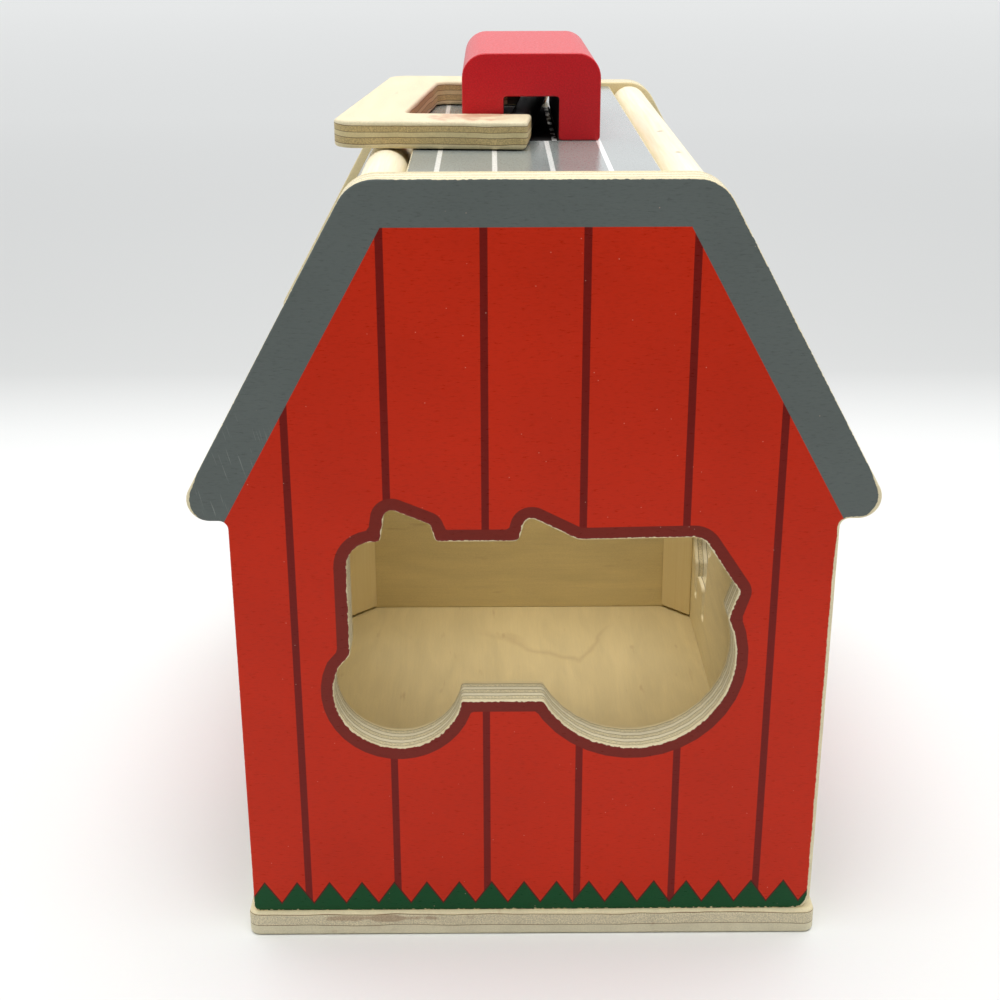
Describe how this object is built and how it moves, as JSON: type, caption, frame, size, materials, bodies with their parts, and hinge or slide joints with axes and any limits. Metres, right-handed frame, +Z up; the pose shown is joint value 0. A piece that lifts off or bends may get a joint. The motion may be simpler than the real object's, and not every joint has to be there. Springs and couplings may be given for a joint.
{
  "type": "toy barn",
  "caption": "Wooden toy barn with a tractor-shaped window, animal-shaped side windows, sloped roof flaps on round rods and a flip-over carry handle held in a ridge block.",
  "frame": {"origin": "middle of the base board's underside", "axes": "+Z up, +Y from the front gable with the tractor window to the rear gable, +X to the right seen from the front"},
  "size_m": [0.1468, 0.1782, 0.1948],
  "materials": {
    "bare_plywood": "sanded birch plywood, unpainted",
    "bare_wood": "sanded, unpainted",
    "red_painted_plywood": "satin printed paint on birch plywood",
    "crimson_painted_wood": "satin sprayed paint",
    "grey_lacquered_plywood": "glossy printed paint",
    "zinc_plated_steel": "zinc plated"
  },
  "bodies": {
    "barn": {"base_board": "bare_plywood", "front_gable": "red_painted_plywood", "rear_gable": "red_painted_plywood", "left_wall": "red_painted_plywood", "right_wall": "red_painted_plywood", "corner_block_front_left": "bare_wood", "corner_block_front_right": "bare_wood", "corner_block_rear_left": "bare_wood", "corner_block_rear_right": "bare_wood", "roof_panel": "grey_lacquered_plywood", "front_roof_cleat": "bare_wood", "rear_roof_cleat": "bare_wood", "handle_bridge": "crimson_painted_wood", "base_screw_front_left": "zinc_plated_steel", "base_screw_front_right": "zinc_plated_steel", "base_screw_rear_left": "zinc_plated_steel", "base_screw_rear_right": "zinc_plated_steel", "base_screw_left_front": "zinc_plated_steel", "base_screw_left_rear": "zinc_plated_steel", "base_screw_right_front": "zinc_plated_steel", "base_screw_right_rear": "zinc_plated_steel", "bridge_screw_left_front": "zinc_plated_steel", "bridge_screw_left_rear": "zinc_plated_steel", "bridge_screw_right_front": "zinc_plated_steel", "bridge_screw_right_rear": "zinc_plated_steel"},
    "left_flap": {"left_roof_flap": "grey_lacquered_plywood", "left_hinge_rod": "bare_wood"},
    "right_flap": {"right_roof_flap": "grey_lacquered_plywood", "right_hinge_rod": "bare_wood"},
    "handle": {"carry_handle": "bare_plywood"}
  },
  "joints": [
    {"name": "left_flap_hinge", "type": "hinge", "parent": "barn", "child": "left_flap", "pos_m": [-0.0321, 0, 0.1703], "axis": [0, 1, 0], "range_deg": [0, 58]},
    {"name": "right_flap_hinge", "type": "hinge", "parent": "barn", "child": "right_flap", "pos_m": [0.0321, 0, 0.1703], "axis": [0, -1, 0], "range_deg": [0, 140]},
    {"name": "handle_hinge", "type": "hinge", "parent": "barn", "child": "handle", "pos_m": [0.0003, 0, 0.1786], "axis": [0.0872, 0.9962, 0], "range_deg": [0, 90]}
  ]
}
